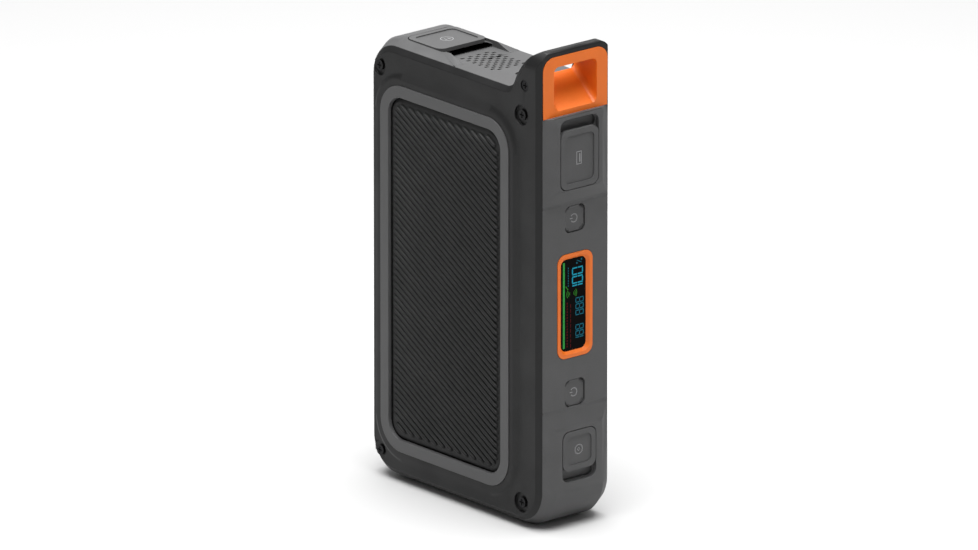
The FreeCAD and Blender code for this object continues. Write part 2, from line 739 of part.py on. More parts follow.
BOARD_FACE = "(control_board_x+board_thick)"
for name in ("usb", "dc"):
    centre = CENTRE + "+" + name + "_button_z"
    switch_top = "(%s+3.6)" % BOARD_FACE
    button(name + "_button", "X", RIGHT, centre,
           "(%s-frame_wall-moving_gap-button_travel-0.2-%s)" % (RIGHT, switch_top))
    body = block(name + "_switch_body", ("3", "6", "6"), (BOARD_FACE, "-3", centre + "-3"))
    top = rod(name + "_switch_top", "1.7", "0.6", (BOARD_FACE + "+3", 0, centre), "X")
    keep(joined(name + "_switch", [body, top]), name + "_switch")
button("ac_button", "Z", TOP, "ac_button_x", "6")
ac_switch_top = TOP + "-frame_wall-moving_gap-6-button_travel-0.2"
body = block("ac_switch_body", ("6", "6", "3"), ("ac_button_x-3", "-3", ac_switch_top + "-3.6"))
top = rod("ac_switch_top", "1.7", "0.6", ("ac_button_x", 0, ac_switch_top + "-0.6"))
keep(joined("ac_switch", [body, top]), "ac_switch")
keep(block("ac_switch_board", ("16", "26", "board_thick"),
           ("ac_button_x-8", "-13", ac_switch_top + "-3.6-board_thick")), "ac_switch_board")


# ---------------------------------------------------------------- sockets behind the covers
PORT_X = RIGHT + "-frame_wall-0.1"
PORT_DEPTH = "(%s-0.1-%s)" % (PORT_X, BOARD_FACE)
USB_LOW = CENTRE + "+usb_cover_start+bay_inset"
USB_A = [("-7.4", "usb_a_lower"), ("1.7", "usb_a_upper")]


def usb_shell(name, thick, across, y, z):
    """A folded metal shell around a flat tongue, open towards the cover."""
    can = block(name + "_can", (PORT_DEPTH, thick, across), (BOARD_FACE, y, z))
    room = block(name + "_room", (PORT_DEPTH, thick + "-0.8", across + "-0.8"),
                 (BOARD_FACE + "+1.5", y + "+0.4", z + "+0.4"))
    tongue = block(name + "_tongue", (PORT_DEPTH + "-2", thick + "/3", across + "-2.4"),
                   (BOARD_FACE + "+1", "%s+%s/3" % (y, thick), z + "+1.2"))
    return joined(name, [removed(name + "_open", can, [room]), tongue])


usb_a = [usb_shell(name, "5.7", "13.1", y, USB_LOW + "+0.8") for y, name in USB_A]
gathered("usb_a_ports", usb_a)
keep(usb_shell("usb_c_port", "3.3", "8.9", "-1.65", USB_LOW + "+15"), "usb_c_port")


def port_plate(name, bay_low, bay_length, bay_width, holes):
    """The dark plate at the back of a bay, with a hole for each socket."""
    base = plate(name + "_blank", bay_length, bay_width, "frame_wall-1.1", "1.5", "X",
                 (RIGHT + "-frame_wall", 0, "%s+(%s)/2" % (bay_low, bay_length)))
    return keep(removed(name, base, holes), name)


through = RIGHT + "-frame_wall-1"
usb_holes = [
    block(name + "_hole", ("frame_wall+1", "4.9", "12.3"), (through, y + "+0.4", USB_LOW + "+0.8+0.4"))
    for y, name in USB_A
]
usb_holes.append(block("usb_c_hole", ("frame_wall+1", "2.5", "8.1"), (through, "-1.25", USB_LOW + "+15.4")))
port_plate("usb_port_plate", USB_LOW + "+0.1", "usb_cover_length-2*bay_inset-0.2",
           "usb_cover_width-2*bay_inset-0.2", usb_holes)

DC_HIGH = CENTRE + "-dc_cover_start-bay_inset"
jacks = []
dc_holes = []
for number, drop in enumerate(("4.1", "11.3")):
    centre = DC_HIGH + "-" + drop
    can = rod("dc_jack_can_%d" % number, "3.4", PORT_DEPTH, (BOARD_FACE, 0, centre), "X")
    room = rod("dc_jack_room_%d" % number, "2.75", PORT_DEPTH, (BOARD_FACE + "+3", 0, centre), "X")
    pin = rod("dc_jack_pin_%d" % number, "1.0", PORT_DEPTH + "-2", (BOARD_FACE + "+1", 0, centre), "X")
    jacks.append(joined("dc_jack_%d" % number, [removed("dc_jack_open_%d" % number, can, [room]), pin]))
    dc_holes.append(rod("dc_hole_%d" % number, "2.75", "frame_wall+1", (through, 0, centre), "X"))
gathered("dc_jacks", jacks)
port_plate("dc_port_plate", DC_HIGH + "-(dc_cover_length-2*bay_inset)+0.1", "dc_cover_length-2*bay_inset-0.2",
           "dc_cover_width-2*bay_inset-0.2", dc_holes)

AC_MIDDLE = "-ac_cover_start+ac_cover_length/2"
AC_TOP = TOP + "-frame_wall"
socket_blank = plate("ac_socket_blank", "ac_cover_length-2*bay_inset-0.2", "ac_cover_width-2*bay_inset-0.2",
                     "24", "1.5", "Z", (AC_MIDDLE, 0, AC_TOP + "+1-24"))
socket_holes = [
    block("ac_slot_left", ("7", "1.8", "16"), (AC_MIDDLE + "-2", "-6.35-0.9", AC_TOP + "-14")),
    block("ac_slot_right", ("7", "1.8", "16"), (AC_MIDDLE + "-2", "6.35-0.9", AC_TOP + "-14")),
    rod("ac_earth_hole", "2.5", "16", (AC_MIDDLE + "-6.5", 0, AC_TOP + "-14")),
]
keep(removed("ac_socket", socket_blank, socket_holes), "ac_socket")


# ---------------------------------------------------------------- anchors of the covers' soft hinges
for name, low in (
    ("usb_cover_anchor", CENTRE + "+usb_cover_start+bay_inset+0.1"),
    ("dc_cover_anchor", CENTRE + "-dc_cover_start-bay_inset-0.1-1.2"),
):
    keep(block(name, ("2.6", "8", "1.2"), (RIGHT + "-1.1+0.1", "-4", low)), name)
keep(block("ac_cover_anchor", ("1.2", "8", "2.2"),
           ("-ac_cover_start+bay_inset+0.1", "-4", AC_TOP + "+1.1")), "ac_cover_anchor")


# ---------------------------------------------------------------- battery: cells, end holders, strips, guard board
def cell_places():
    for layer in (-1, 1):
        for number in range(6):
            yield ("%d*cell_pitch/2" % layer, "cell_base+%d*cell_pitch" % number)


cells, bores_left, bores_right = [], [], []
RIGHT_HOLDER = "cell_left+cell_length-holder_thick+1"
for number, (y, z) in enumerate(cell_places()):
    can = rod("cell_can_%d" % number, "cell_radius", "cell_length-1", ("cell_left", y, z), "X")
    tip = rod("cell_tip_%d" % number, "3", "1", ("cell_left+cell_length-1", y, z), "X")
    cells.append(joined("cell_%d" % number, [can, tip]))
    seat = "cell_radius+fit_gap"
    bores_left.append(rod("bore_left_%d" % number, seat, "holder_thick", ("cell_left-0.05", y, z), "X"))
    bores_right.append(rod("bore_right_%d" % number, seat, "holder_thick", (RIGHT_HOLDER + "-1.05", y, z), "X"))
    bores_left.append(rod("eye_left_%d" % number, "6", "9", ("cell_left-4", y, z), "X"))
    bores_right.append(rod("eye_right_%d" % number, "6", "9", (RIGHT_HOLDER, y, z), "X"))
gathered("battery_cells", cells)
HOLDER_HEIGHT = "6*cell_pitch+1"
for name, x, bores in (
    ("cell_holder_left", "cell_left-1.6", bores_left),
    ("cell_holder_right", "cell_left+cell_length-holder_thick+1", bores_right),
):
    blank = block(name + "_blank", ("holder_thick", "2*cell_pitch+1", HOLDER_HEIGHT),
                  (x, "-cell_pitch-0.5", "cell_base-cell_pitch/2-0.5"))
    keep(removed(name, blank, bores), name)
strips = []
for number in range(6):
    z = "cell_base+%d*cell_pitch-3.5" % number
    strips.append(block("strip_left_%d" % number, ("0.3", "cell_pitch+7", "7"),
                        ("cell_left-2", "-cell_pitch/2-3.5", z)))
    strips.append(block("strip_right_%d" % number, ("0.3", "cell_pitch+7", "7"),
                        ("cell_left+cell_length+1.1", "-cell_pitch/2-3.5", z)))
gathered("nickel_strips", strips)
keep(block("guard_board", ("board_thick", "34", "100"),
           ("cell_left+cell_length+5", "-17", "cell_base")), "guard_board")


# ---------------------------------------------------------------- boards and what stands on them
keep(block("control_board", ("board_thick", "control_board_width", "control_board_length"),
           ("control_board_x", "-control_board_width/2", CENTRE + "-control_board_length/2")),
     "control_board")
INVERTER_LOW = CENTRE + "+inverter_board_low"
keep(block("inverter_board", ("inverter_board_width", "board_thick", "inverter_board_height"),
           ("-54", "inverter_board_y", INVERTER_LOW)), "inverter_board")
BOARD_FRONT = "inverter_board_y-0.05"
core = block("core_blank", ("30", "22", "26"), ("-8", BOARD_FRONT + "-22", INVERTER_LOW + "+6"))
core_room = block("core_room", ("20", "24", "16"), ("-3", BOARD_FRONT + "-23", INVERTER_LOW + "+11"))
core_leg = block("core_leg", ("8", "22", "26"), ("3", BOARD_FRONT + "-22", INVERTER_LOW + "+6"))
keep(joined("transformer_core", [removed("core_open", core, [core_room]), core_leg]), "transformer_core")
coil_blank = block("coil_blank", ("18", "20", "15"), ("-2", BOARD_FRONT + "-21", INVERTER_LOW + "+11.5"))
coil_room = block("coil_room", ("8.2", "24", "15.2"), ("2.9", BOARD_FRONT + "-23", INVERTER_LOW + "+11.4"))
winding = removed("transformer_windings", coil_blank, [coil_room])
keep(winding, "transformer_windings")
gathered("capacitors", [
    rod("capacitor_%d" % number, "8", "26", ("-42", BOARD_FRONT, INVERTER_LOW + place), "-Y")
    for number, place in enumerate(("+12", "+31"))
])
fins = [block("sink_base", ("3", "24", "44"), ("34", BOARD_FRONT + "-24", INVERTER_LOW + "+7"))]
for number in range(6):
    fins.append(block("sink_fin_%d" % number, ("6", "1.4", "44"),
                      ("28.5", BOARD_FRONT + "-24+%d*4.5" % number, INVERTER_LOW + "+7")))
keep(joined("heat_sink", fins), "heat_sink")
gathered("power_transistors", [
    block("transistor_%d" % number, ("4.4", "15", "10"),
          ("37.05", BOARD_FRONT + "-20", INVERTER_LOW + "+%d" % (10 + 13 * number)))
    for number in range(3)
])
keep(rod("fuse", "2.6", "20", ("-28", "inverter_board_y-3", INVERTER_LOW + "+10"), "Z"), "fuse")
standoffs = []
board_screws = []
for number, (x, z) in enumerate((("-50", "4"), ("38", "4"), ("-50", "54"), ("38", "54"))):
    place = (x, "inverter_board_y+board_thick+0.05", INVERTER_LOW + "+" + z)
    standoffs.append(rod("standoff_%d" % number, "3", "frame_depth/2-inverter_board_y-board_thick-0.1",
                         place, "Y"))
    head = (x, "inverter_board_y-0.05-2", INVERTER_LOW + "+" + z)
    board_screws.append(rod("board_screw_%d" % number, "2.6", "2", head, "Y"))
gathered("board_standoffs", standoffs)
gathered("board_screws", board_screws)
ferrite = rod("ferrite_disc", "24", "1", ("ring_shift_x", "-frame_depth/2+1.7", CENTRE + "+48"), "Y")
keep(ferrite, "ferrite_disc")
charge_coil = rod("charge_coil_blank", "22", "1.4", ("ring_shift_x", "-frame_depth/2+0.2", CENTRE + "+48"), "Y")
coil_eye = rod("charge_coil_eye", "10", "3", ("ring_shift_x", "-frame_depth/2-0.5", CENTRE + "+48"), "Y")
keep(removed("charging_coil", charge_coil, [coil_eye]), "charging_coil")


# ---------------------------------------------------------------- fan below the vents
FAN_LOW = TOP + "-frame_wall-4-fan_thick"
fan_blank = block("fan_blank", ("fan_size", "fan_size", "fan_thick"),
                  ("vent_centre_x-fan_size/2", "-fan_size/2", FAN_LOW))
fan_bore = rod("fan_bore_tool", "fan_bore", "fan_thick+2", ("vent_centre_x", 0, FAN_LOW + "-1"))
fan_ring = removed("fan_ring", fan_blank, [fan_bore])
arms = [
    block("fan_arm_x", ("2*fan_bore+1", "3", "1.2"), ("vent_centre_x-fan_bore-0.5", "-1.5", FAN_LOW)),
    block("fan_arm_y", ("3", "2*fan_bore+1", "1.2"), ("vent_centre_x-1.5", "-fan_bore-0.5", FAN_LOW)),
    rod("fan_cup", "fan_hub", "1.2", ("vent_centre_x", 0, FAN_LOW)),
    rod("fan_bearing", "2.4", "5", ("vent_centre_x", 0, FAN_LOW)),
]
bearing_hole = rod("fan_bearing_hole", "1.04", "8", ("vent_centre_x", 0, FAN_LOW + "-1"))
keep(removed("fan_frame", joined("fan_body", [fan_ring] + arms), [bearing_hole]), "fan_frame")

hub = rod("rotor_hub", "fan_hub", "fan_thick-2.2", ("vent_centre_x", 0, FAN_LOW + "+1.7"))
hollow = rod("rotor_hollow", "fan_hub-1.2", "fan_thick-3.6", ("vent_centre_x", 0, FAN_LOW + "+1.6"))
shaft = rod("rotor_shaft", "1.0", "fan_thick-1.2", ("vent_centre_x", 0, FAN_LOW + "+0.6"))
blades = []
for number in range(7):
    blade = block("blade_%d" % number, ("fan_bore-fan_hub", "1.2", "6"), ("0", "-0.6", "0"))
    blade.Placement = FreeCAD.Placement(
        V(), FreeCAD.Rotation(V(0, 0, 1), 360.0 / 7 * number).multiply(FreeCAD.Rotation(V(1, 0, 0), -35)),
    )
    turn = math.radians(360.0 / 7 * number)
    bind(blade, x="vent_centre_x+(fan_hub-0.6)*%.6f" % math.cos(turn),
         y="(fan_hub-0.6)*%.6f" % math.sin(turn), z=FAN_LOW + "+2.7")
    blades.append(blade)
keep(joined("fan_rotor", [removed("rotor_cup", hub, [hollow]), shaft] + blades), "fan_rotor")


# ---------------------------------------------------------------- check every object, then write the sub-parts
doc.recompute()
faults = [item.Name for item in doc.Objects if "Invalid" in item.State or "Error" in item.State]
for piece in pieces:
    if piece.Shape.isNull() or not piece.Shape.isValid() or not piece.Shape.Solids:
        faults.append(piece.Label)
labels = [piece.Label for piece in pieces]
if faults or len(set(labels)) != len(labels):
    raise RuntimeError("these pieces failed: %s" % ", ".join(faults or sorted(labels)))

os.makedirs("parts", exist_ok=True)
for piece in pieces:
    piece.Shape.exportStep("parts/%s.step" % piece.Label)
    box = piece.Shape.BoundBox
    print("%-22s %2d solids %9.1f mm3  x %7.1f %7.1f  y %6.1f %6.1f  z %6.1f %6.1f" % (
        piece.Label, len(piece.Shape.Solids), piece.Shape.Volume,
        box.XMin, box.XMax, box.YMin, box.YMax, box.ZMin, box.ZMax,
    ))
print("%d sub-parts" % len(pieces))
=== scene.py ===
import math
import bmesh
import bpy
from mathutils import Matrix, Vector
from mathutils.bvhtree import BVHTree


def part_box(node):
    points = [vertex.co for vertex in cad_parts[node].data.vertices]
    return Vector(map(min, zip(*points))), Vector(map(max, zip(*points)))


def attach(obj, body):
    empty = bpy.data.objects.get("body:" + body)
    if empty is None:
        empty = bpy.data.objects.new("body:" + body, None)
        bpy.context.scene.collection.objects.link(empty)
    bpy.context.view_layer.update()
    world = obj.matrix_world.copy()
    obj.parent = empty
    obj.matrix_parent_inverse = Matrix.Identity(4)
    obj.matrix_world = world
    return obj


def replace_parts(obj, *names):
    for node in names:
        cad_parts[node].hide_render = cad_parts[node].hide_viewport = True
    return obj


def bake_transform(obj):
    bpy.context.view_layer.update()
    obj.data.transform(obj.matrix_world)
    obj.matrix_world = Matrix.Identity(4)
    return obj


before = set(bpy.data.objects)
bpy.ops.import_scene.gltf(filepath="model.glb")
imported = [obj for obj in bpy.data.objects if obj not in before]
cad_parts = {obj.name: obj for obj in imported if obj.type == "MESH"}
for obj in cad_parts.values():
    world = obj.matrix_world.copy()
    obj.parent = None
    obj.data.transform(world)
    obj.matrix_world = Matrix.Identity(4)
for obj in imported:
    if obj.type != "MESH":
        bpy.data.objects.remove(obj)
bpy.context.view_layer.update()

MM = 0.001
collection = bpy.context.scene.collection


# ---------------------------------------------------------------- studio
# The pack stands on a pale sweep under one broad softbox overhead, with a weaker one towards
# each visible side. The view is almost parallel, from the front right and a little above.
case_low, case_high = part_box("mid_frame")
middle = Vector((0.0, 0.0, (case_low.z + case_high.z) / 2))

VIEW_WIDTH = 0.489
turn, lift = math.radians(49.7), math.radians(17.8)
back = Vector((math.sin(turn) * math.cos(lift), -math.cos(turn) * math.cos(lift), math.sin(lift)))
right = Vector((math.cos(turn), math.sin(turn), 0.0))
above = back.cross(right)
aim = middle + Vector((0.2 * MM, 0, 0)) - right * 0.75 * MM - above * 0.5 * MM
camera_data = bpy.data.cameras.new("camera")
camera_data.lens = 800.0
camera_data.sensor_width = 36.0
camera_data.clip_end = 60.0
camera = bpy.data.objects.new("camera", camera_data)
collection.objects.link(camera)
camera.location = aim + back * VIEW_WIDTH * camera_data.lens / camera_data.sensor_width
camera.rotation_euler = back.to_track_quat("Z", "Y").to_euler()
bpy.context.scene.camera = camera
bpy.context.scene.view_settings.view_transform = "Standard"

world = bpy.data.worlds.new("studio_air")
world.use_nodes = True
glow = world.node_tree.nodes["Background"]
glow.inputs["Color"].default_value = (1.0, 1.0, 1.0, 1.0)
glow.inputs["Strength"].default_value = 0.22
bpy.context.scene.world = world


def softbox(name, place, size, power):
    """A square area light that looks at the middle of the pack."""
    lamp = bpy.data.lights.new(name, "AREA")
    lamp.size = size
    lamp.energy = power
    holder = bpy.data.objects.new(name, lamp)
    collection.objects.link(holder)
    holder.location = place
    holder.rotation_euler = (Vector(place) - middle).to_track_quat("Z", "Y").to_euler()


softbox("overhead_light", (0.1, -0.1, 1.7), 1.6, 72.0)
softbox("front_light", (-0.6, -1.9, 0.9), 1.2, 0.8)
softbox("side_light", (2.0, -0.1, 0.8), 1.2, 0.6)
softbox("rear_light", (-1.7, 1.45, 1.0), 2.0, 11.0)

bm = bmesh.new()
bmesh.ops.create_grid(bm, x_segments=2, y_segments=2, size=7.0)
floor_mesh = bpy.data.meshes.new("pale_floor")
bm.to_mesh(floor_mesh)
bm.free()
floor = bpy.data.objects.new("pale_floor", floor_mesh)
collection.objects.link(floor)
paper = bpy.data.materials.new("pale_paper")
paper.use_nodes = True
paper_shader = paper.node_tree.nodes["Principled BSDF"]
paper_shader.inputs["Base Color"].default_value = (0.57, 0.57, 0.57, 1.0)
paper_shader.inputs["Roughness"].default_value = 0.9
floor_mesh.materials.append(paper)


# ---------------------------------------------------------------- grey middle frame
# The band that runs round all four narrow sides, with raised bumpers at its corners. Injection
# moulded in filled grey plastic with a fine eroded grain; its edges have a small mould radius.
PIT_DEPTH = 0.06 * MM
MERGE = 2e-6
FLAT_WITHIN = math.radians(0.5)
CREASE = math.radians(32)


def moulded(name, colour, gloss, grain=5200.0, relief=0.16, drift=0.10, metal=0.0, coat=0.0,
            sheen=0.0, shine=0.4):
    """A moulded or pressed finish: fine grain, with slow changes of tone and of roughness."""
    material = bpy.data.materials.new(name)
    material.use_nodes = True
    nodes, links = material.node_tree.nodes, material.node_tree.links
    shader = nodes["Principled BSDF"]
    shader.inputs["Metallic"].default_value = metal
    shader.inputs["Coat Weight"].default_value = coat
    shader.inputs["Sheen Weight"].default_value = sheen
    shader.inputs["Specular IOR Level"].default_value = shine
    place = nodes.new("ShaderNodeTexCoord")

    cloud = nodes.new("ShaderNodeTexNoise")
    cloud.inputs["Scale"].default_value = 70.0
    cloud.inputs["Detail"].default_value = 5.0
    links.new(place.outputs["Object"], cloud.inputs["Vector"])
    speckle = nodes.new("ShaderNodeTexNoise")
    speckle.inputs["Scale"].default_value = grain * 0.4
    speckle.inputs["Detail"].default_value = 3.0
    links.new(place.outputs["Object"], speckle.inputs["Vector"])
    both = nodes.new("ShaderNodeMath")
    both.operation = "MULTIPLY_ADD"
    both.inputs[1].default_value = 0.45
    links.new(speckle.outputs["Fac"], both.inputs[0])
    links.new(cloud.outputs["Fac"], both.inputs[2])
    tone = nodes.new("ShaderNodeValToRGB")
    tone.color_ramp.elements[0].position = 0.5
    tone.color_ramp.elements[1].position = 0.95
    tone.color_ramp.elements[0].color = (*[part * (1 - drift) for part in colour], 1.0)
    tone.color_ramp.elements[1].color = (*[part * (1 + drift) for part in colour], 1.0)
    links.new(both.outputs[0], tone.inputs["Fac"])
    links.new(tone.outputs["Color"], shader.inputs["Base Color"])

    polish = nodes.new("ShaderNodeMapRange")
    polish.inputs["From Min"].default_value = 0.3
    polish.inputs["From Max"].default_value = 0.7
    polish.inputs["To Min"].default_value = max(gloss - 0.05, 0.02)
    polish.inputs["To Max"].default_value = gloss + 0.06
    links.new(cloud.outputs["Fac"], polish.inputs["Value"])
    links.new(polish.outputs["Result"], shader.inputs["Roughness"])

    pits = nodes.new("ShaderNodeTexNoise")
    pits.inputs["Scale"].default_value = grain
    pits.inputs["Detail"].default_value = 2.0
    links.new(place.outputs["Object"], pits.inputs["Vector"])
    bump = nodes.new("ShaderNodeBump")
    bump.inputs["Strength"].default_value = relief
    bump.inputs["Distance"].default_value = PIT_DEPTH
    links.new(pits.outputs["Fac"], bump.inputs["Height"])
    links.new(bump.outputs["Normal"], shader.inputs["Normal"])
    return material


def finished(bm, name, material, body="case", levelled=True):
    """Makes a piece of a bmesh: smooth, with its large faces kept flat, and on its body."""
    for face in bm.faces:
        face.smooth = True
    mesh = bpy.data.meshes.new(name)
    bm.to_mesh(mesh)
    bm.free()
    mesh.materials.append(material)
    mesh.set_sharp_from_angle(angle=CREASE)
    item = bpy.data.objects.new(name, mesh)
    collection.objects.link(item)
    if levelled:
        level = item.modifiers.new("flat_faces", "WEIGHTED_NORMAL")
        level.keep_sharp = True
    if body:
        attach(item, body)
    return item


def solid_of(node):
    """A merged copy of a CAD node, its flat faces whole again."""
    bm = bmesh.new()
    bm.from_mesh(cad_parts[node].data)
    bmesh.ops.remove_doubles(bm, verts=bm.verts, dist=MERGE)
    bmesh.ops.dissolve_limit(bm, angle_limit=FLAT_WITHIN, verts=bm.verts, edges=bm.edges)
    return bm


def ease(bm, radius, sharp=30.0, chosen=None):
    """Rounds the sharp edges, or the chosen ones. A corner that lands far off is put back."""
    surface = BVHTree.FromBMesh(bm)
    edges = [
        edge for edge in bm.edges
        if len(edge.link_faces) == 2 and edge.calc_face_angle(0.0) > math.radians(sharp)
        and edge.calc_length() > 2 * radius and (chosen is None or chosen(edge))
    ]
    bmesh.ops.bevel(
        bm, geom=edges, offset=radius, offset_type="OFFSET", affect="EDGES", segments=3,
        profile=0.5, clamp_overlap=False, material=-1,
    )
    for vertex in bm.verts:
        spot, _, _, away = surface.find_nearest(vertex.co)
        if away > radius * 0.5:
            vertex.co = spot


def eased(node, name, radius, material, body="case", sharp=30.0, chosen=None):
    """The CAD node with the small radii that its mould gives it."""
    bm = solid_of(node)
    ease(bm, radius, sharp, chosen)
    item = finished(bm, name, material, body)
    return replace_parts(item, node)


frame_plastic = moulded("eroded_grey_plastic", (0.069, 0.069, 0.070), 0.55)
eased("mid_frame", "grey_frame", 0.25 * MM, frame_plastic, sharp=50.0)


# ---------------------------------------------------------------- black shells with the loop
# Two black plates that close the case from front and rear, each with half of the carrying loop.
# Moulded in tough black plastic over a soft edge, and bevelled all round.
shell_plastic = moulded("tough_black_plastic", (0.0058, 0.0058, 0.006), 0.50, relief=0.22,
                        shine=0.34)
RIM_DEPTH = 0.7 * MM
mouth_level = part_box("loop_insert")[1].x - RIM_DEPTH


def behind_mouth(edge):
    """Leaves out the thin rim that the loop shows round the insert's flange."""
    return min(vertex.co.x for vertex in edge.verts) < mouth_level


for side in ("front", "rear"):
    eased(side + "_shell", side + "_black_shell", 0.25 * MM, shell_plastic,
          sharp=34.0, chosen=behind_mouth)


# ---------------------------------------------------------------- orange insert of the loop
# A satin orange tube with a flange, pushed into the loop from the side of the controls and held
# by one screw from each broad side.
orange = moulded("satin_orange_plastic", (0.74, 0.15, 0.010), 0.45, relief=0.10, drift=0.05)
eased("loop_insert", "orange_insert", 0.35 * MM, orange)


# ---------------------------------------------------------------- grey rings round the pads
# A flat band of satin grey plastic around each pad, glued into its groove, with a fine turned-in
# edge inside.
ring_plastic = moulded("satin_grey_band", (0.070, 0.070, 0.071), 0.48, relief=0.12)
for side in ("front", "rear"):
    eased(side + "_ring", side + "_band", 0.18 * MM, ring_plastic)


# ---------------------------------------------------------------- ribbed pads
# A rubber pad inside each ring. Its field is covered with slanting rounded ribs that end short of
# the sloping border, and their crests are level with the ring.
pad_rubber = moulded("ribbed_black_rubber", (0.0105, 0.0105, 0.0105), 0.60, grain=3800.0,
                     relief=0.3, shine=0.34)
RIB_PITCH = 3.0 * MM
RIB_HALF = 1.2 * MM
RIB_LIFT = 1.4 * MM
RIB_TIP = 2.2 * RIB_HALF
RIB_SHORTEST = 1.5 * MM
RIB_SLANT = math.radians(30)
FIELD_DROP = 1.1 * MM
FIELD_CORNER = 6.0 * MM
FIELD_BORDER = 3.1 * MM
PACE = 0.4 * MM


def rib_ends(offset, half_wide, half_high):
    """How far a slanting line runs each way before it leaves the rounded field."""
    along = Vector((math.cos(RIB_SLANT), -math.sin(RIB_SLANT)))
    across = Vector((math.sin(RIB_SLANT), math.cos(RIB_SLANT)))
    inside = []
    for step in range(-500, 501):
        spot = across * offset + along * step * PACE
        over_x = max(abs(spot.x) - half_wide + FIELD_CORNER, 0.0)
        over_z = max(abs(spot.y) - half_high + FIELD_CORNER, 0.0)
        if math.hypot(over_x, over_z) <= FIELD_CORNER:
            inside.append(step * PACE)
    return (inside[0], inside[-1]) if inside else None


def ribbed_pad(side, outward):
    """The pad with its field sunk by the height of the ribs, and the ribs that stand on it."""
    low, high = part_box(side + "_panel")
    crest = high.y if outward > 0 else low.y
    field_y = crest - outward * FIELD_DROP
    bm = solid_of(side + "_panel")
    for vertex in bm.verts:
        if abs(vertex.co.y - crest) < 0.01 * MM:
            vertex.co.y = field_y
    centre = (low + high) / 2
    half_wide = (high.x - low.x) / 2 - FIELD_BORDER
    half_high = (high.z - low.z) / 2 - FIELD_BORDER
    reach = half_wide * math.sin(RIB_SLANT) + half_high * math.cos(RIB_SLANT)
    count = int(reach / RIB_PITCH)
    tilt = Matrix.Rotation(RIB_SLANT, 4, "Y")
    for number in range(-count, count + 1):
        ends = rib_ends(number * RIB_PITCH, half_wide - RIB_HALF, half_high - RIB_HALF)
        if not ends or ends[1] - ends[0] < RIB_SHORTEST:
            continue
        rib = bmesh.ops.create_uvsphere(bm, u_segments=10, v_segments=8, radius=1.0)["verts"]
        lying = Matrix.Rotation(math.pi / 2, 3, "Y")
        bmesh.ops.rotate(bm, verts=rib, cent=(0, 0, 0), matrix=lying)
        for vertex in rib:
            end = ends[1] if vertex.co.x > 0 else ends[0]
            vertex.co = (
                vertex.co.x * RIB_TIP + end, vertex.co.y * RIB_LIFT, vertex.co.z * RIB_HALF)
        shift = Vector((math.sin(RIB_SLANT), 0, math.cos(RIB_SLANT))) * number * RIB_PITCH
        place = Matrix.Translation(Vector((centre.x, field_y, centre.z)) + shift) @ tilt
        bmesh.ops.transform(bm, matrix=place, verts=rib)
    item = finished(bm, side + "_ribbed_pad", pad_rubber)
    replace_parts(item, side + "_panel")


ribbed_pad("front", -1)
ribbed_pad("rear", 1)


# ---------------------------------------------------------------- screws of the case and the loop
# Blackened pan-head steel screws with a cross recess, sunk in round wells at the four corners of
# each shell and at the loop.
def dress(material, *names):
    """Gives carried-over pieces their finish."""
    for name in names:
        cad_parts[name].data.materials.clear()
        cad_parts[name].data.materials.append(material)


dark_steel = moulded("blackened_steel", (0.018, 0.018, 0.019), 0.45, grain=9000.0, relief=0.1,
                     metal=0.85)
dress(dark_steel, "front_screws", "rear_screws", "loop_screws")


# ---------------------------------------------------------------- display
# A raised orange bezel around a hard-coated black window. Behind the window a colour display
# lights a charge bar, seven-segment figures and a few small marks.
# The mouth of the bezel widens towards the front, so that its rim is narrow.
MOUTH_HALF_WIDTH = 8.3 * MM
MOUTH_HALF_HEIGHT = 24.2 * MM
MOUTH_FLARE_WIDTH = 1.17
MOUTH_FLARE_HEIGHT = 1.055
bm = solid_of("display_bezel")
low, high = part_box("display_bezel")
mid_z = (low.z + high.z) / 2
for vertex in bm.verts:
    off_z = vertex.co.z - mid_z
    in_mouth = abs(vertex.co.y) < MOUTH_HALF_WIDTH and abs(off_z) < MOUTH_HALF_HEIGHT
    if in_mouth and vertex.co.x > high.x - 0.05 * MM:
        vertex.co.y *= MOUTH_FLARE_WIDTH
        vertex.co.z = mid_z + off_z * MOUTH_FLARE_HEIGHT
ease(bm, 0.3 * MM)
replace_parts(finished(bm, "orange_bezel", orange), "display_bezel")
window_black = moulded("hard_coated_black", (0.0012, 0.0012, 0.0014), 0.22, grain=900.0,
                       relief=0.01, shine=0.03)
dress(window_black, "display_lens")
LIGHT_THICK = 0.02 * MM
display_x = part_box("display_lens")[1].x + LIGHT_THICK
display_z = middle.z


def lit(name, colour):
    """A lit segment: its glow is stronger in the middle of each fine cell of the display."""
    material = bpy.data.materials.new(name)
    material.use_nodes = True
    nodes, links = material.node_tree.nodes, material.node_tree.links
    shader = nodes["Principled BSDF"]
    shader.inputs["Roughness"].default_value = 0.3
    shader.inputs["Specular IOR Level"].default_value = 0.05
    shader.inputs["Emission Strength"].default_value = 1.0
    place = nodes.new("ShaderNodeTexCoord")
    cells = nodes.new("ShaderNodeTexVoronoi")
    cells.inputs["Scale"].default_value = 3500.0
    links.new(place.outputs["Object"], cells.inputs["Vector"])
    tone = nodes.new("ShaderNodeValToRGB")
    tone.color_ramp.elements[0].color = (*colour, 1.0)
    tone.color_ramp.elements[1].color = (*[part * 0.55 for part in colour], 1.0)
    links.new(cells.outputs["Distance"], tone.inputs["Fac"])
    links.new(tone.outputs["Color"], shader.inputs["Base Color"])
    links.new(tone.outputs["Color"], shader.inputs["Emission Color"])
    return material


def bar(bm, middle_point, size, spin=0.0, axis="X"):
    """A small flat bar, turned about one axis."""
    made = bmesh.ops.create_cube(bm, size=1.0)["verts"]
    place = Matrix.Translation(middle_point) @ Matrix.Rotation(spin, 4, axis)
    bmesh.ops.transform(bm, matrix=place @ Matrix.Diagonal((*size, 1.0)), verts=made)


